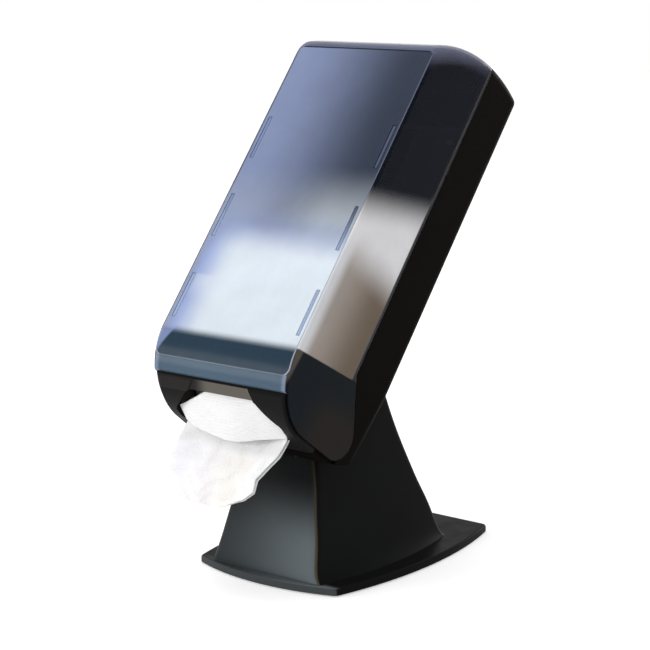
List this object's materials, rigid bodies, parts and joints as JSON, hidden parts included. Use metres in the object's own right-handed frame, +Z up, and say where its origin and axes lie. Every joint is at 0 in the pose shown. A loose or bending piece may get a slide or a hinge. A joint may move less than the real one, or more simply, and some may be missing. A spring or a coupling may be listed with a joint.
{
  "type": "countertop wipes dispenser",
  "caption": "Free-standing dispenser for folded wipes: a leaning box with a smoked hinged cover and a wipe hanging from its lower mouth, on a flared stand.",
  "frame": {"origin": "centre of the outline at table level", "axes": "+Z up; the front, with the hanging wipe, faces -Y; +X runs along the cover's hinge"},
  "size_m": [0.2352, 0.4452, 0.5821],
  "materials": {
    "smoked_cover": "glossy smoked see-through moulding",
    "clear_pane": "glossy clear sheet",
    "black_shell": "matte black, fine grain",
    "stand_plastic": "satin dark grey, fine grain",
    "black_fittings": "matte black",
    "wipe_paper": "white nonwoven, lightly embossed",
    "steel": "ground steel",
    "zinc_plate": "zinc-plated plate",
    "zinc_fasteners": "zinc-plated",
    "grey_plastic": "matte dark grey",
    "bearing_plastic": "natural bearing plastic",
    "rubber": "matte rubber"
  },
  "bodies": {
    "frame": {"stand_pedestal": "stand_plastic", "rear_housing": "black_shell", "dispensing_nose": "black_shell", "hanging_wipe": "wipe_paper", "wipe_stack": "wipe_paper", "ballast_plate": "zinc_plate", "base_screws": "zinc_fasteners", "rubber_feet": "rubber", "mount_plate": "zinc_plate", "mount_bolts": "zinc_fasteners", "mount_nuts": "zinc_fasteners", "magazine_back": "grey_plastic", "magazine_screws": "zinc_fasteners", "stack_guide_left": "grey_plastic", "stack_guide_right": "grey_plastic", "guide_rod": "steel", "rod_bracket_top": "black_fittings", "rod_bracket_bottom": "black_fittings", "hinge_pin_left": "steel", "hinge_pin_right": "steel", "latch_guide": "black_fittings", "latch_spring": "steel", "nose_screws": "zinc_fasteners"},
    "cover": {"front_cover": "smoked_cover", "display_pane": "clear_pane", "pane_clips": "clear_pane", "hinge_bush_left": "bearing_plastic", "hinge_bush_right": "bearing_plastic", "latch_strike": "black_fittings"},
    "follower": {"pusher": "black_fittings", "pusher_weight": "zinc_plate", "weight_screws": "zinc_fasteners", "pusher_bushes": "bearing_plastic"},
    "latch": {"latch_button": "black_fittings"}
  },
  "joints": [
    {"name": "cover_hinge", "type": "hinge", "parent": "frame", "child": "cover", "pos_m": [0, -0.11138, 0.17312], "axis": [1, 0, 0], "range_deg": [0, 45]},
    {"name": "follower_slide", "type": "slide", "parent": "frame", "child": "follower", "axis": [0, 0.6361, 0.7716], "range_m": [0, 0.13]},
    {"name": "latch_press", "type": "slide", "parent": "frame", "child": "latch", "axis": [0, -0.6361, -0.7716], "range_m": [0, 0.004], "stiffness_N_per_m": 400, "springref_m": -0.004, "deforming": ["latch_spring"]}
  ]
}
